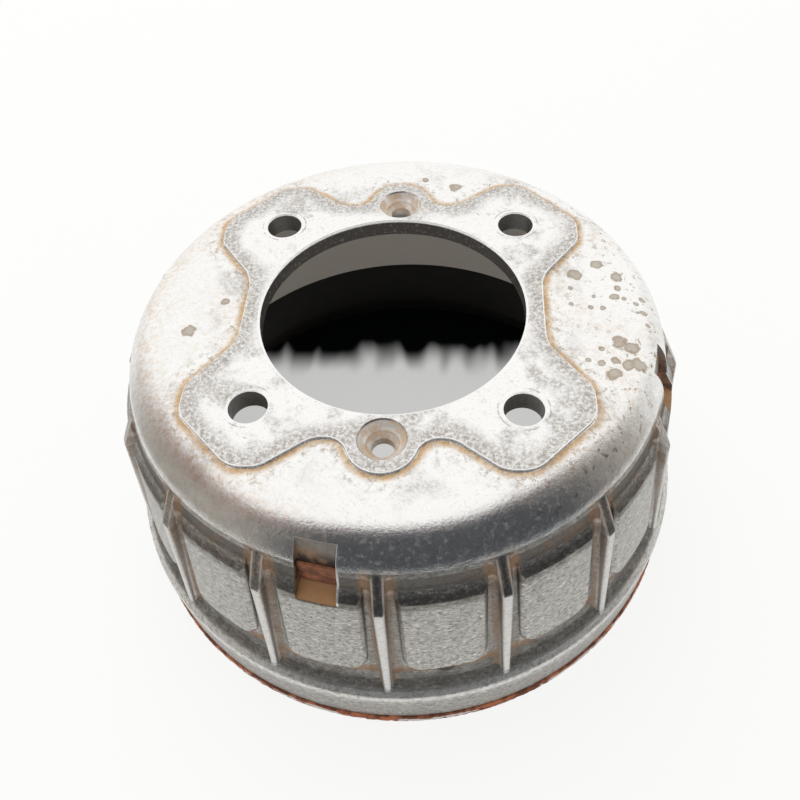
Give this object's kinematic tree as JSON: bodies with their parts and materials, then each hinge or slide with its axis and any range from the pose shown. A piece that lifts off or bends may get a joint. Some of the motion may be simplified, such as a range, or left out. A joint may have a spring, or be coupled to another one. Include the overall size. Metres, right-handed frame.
{
  "type": "brake drum",
  "caption": "Ribbed aluminium brake drum with a cast-in iron friction ring, a wide centre bore, wheel stud holes and countersunk retaining screw holes, worn and rust-stained",
  "frame": {"origin": "centre of the plane of the open mouth, which is the face the drum stands on when it lies mouth down", "axes": "+Z is the drum's axis and points from the open mouth to the wheel face; the two retaining screw holes lie on the Y axis, and the four stud holes lie at 45 degrees to X and Y"},
  "size_m": [0.192, 0.192, 0.0915],
  "materials": {
    "cast_aluminium": "as-cast light alloy, oxidised and stained with rust, machined on the wheel pad and flange",
    "cast_iron_ring": "turned grey iron, rusty at the mouth lip and dull grey on the friction face"
  },
  "bodies": {
    "root": {"drum_casting": "cast_aluminium", "friction_ring": "cast_iron_ring"}
  },
  "joints": []
}
